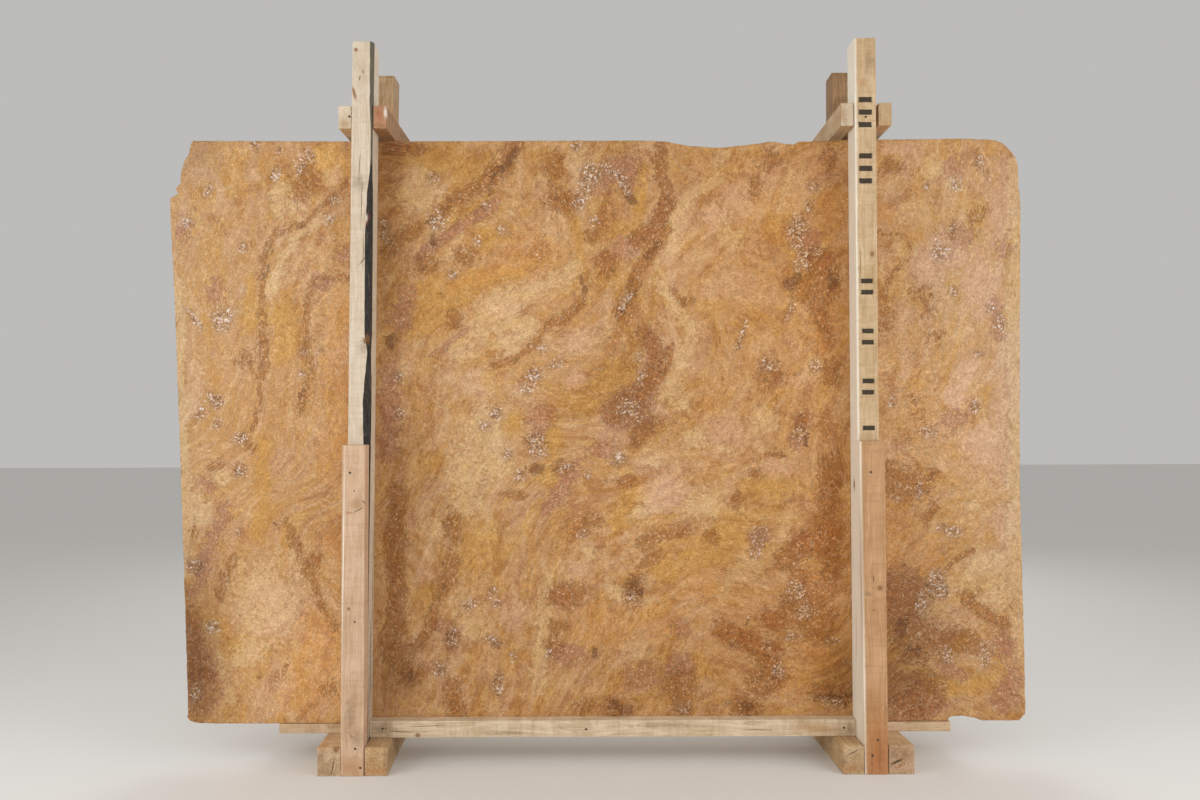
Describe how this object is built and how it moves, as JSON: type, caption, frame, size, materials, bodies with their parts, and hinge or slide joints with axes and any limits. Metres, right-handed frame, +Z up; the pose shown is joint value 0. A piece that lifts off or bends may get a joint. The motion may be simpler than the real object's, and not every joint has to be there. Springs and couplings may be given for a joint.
{
  "type": "rough travertine slab in a timber frame",
  "caption": "Rough-edged travertine slab standing on edge on a plank, held upright between front and rear posts of a nailed timber frame on bearers.",
  "frame": {"origin": "on the ground, under the middle of the whole object: the bottom centre of its box", "axes": "+X along the slab to the viewer's right, +Y through the slab away from the viewer, +Z up"},
  "size_m": [2.812, 0.487, 2.338],
  "materials": {
    "travertine": "sawn and filled, satin, with a chipped rough edge",
    "pale_pine": "rough sawn",
    "pink_pine": "rough sawn",
    "weathered_pine": "rough sawn, a little grey"
  },
  "bodies": {
    "root": {"travertine_slab": "travertine", "front_post_left": "pale_pine", "front_post_right": "pale_pine", "rear_post_left": "pale_pine", "rear_post_right": "weathered_pine", "front_short_post_left": "pink_pine", "front_short_post_right": "pink_pine", "rear_short_post_left": "pink_pine", "rear_short_post_right": "pink_pine", "bearer_left_outer": "pale_pine", "bearer_left_inner": "pale_pine", "bearer_right_inner": "pale_pine", "bearer_right_outer": "pale_pine", "tie_left_outer": "pale_pine", "tie_left_inner": "pink_pine", "tie_right_inner": "pale_pine", "tie_right_outer": "pale_pine", "slab_plank": "pale_pine", "front_rail": "pale_pine", "packer_left_low": "weathered_pine", "packer_left_high": "weathered_pine", "packer_right_low": "weathered_pine", "packer_right_high": "weathered_pine"}
  },
  "joints": []
}
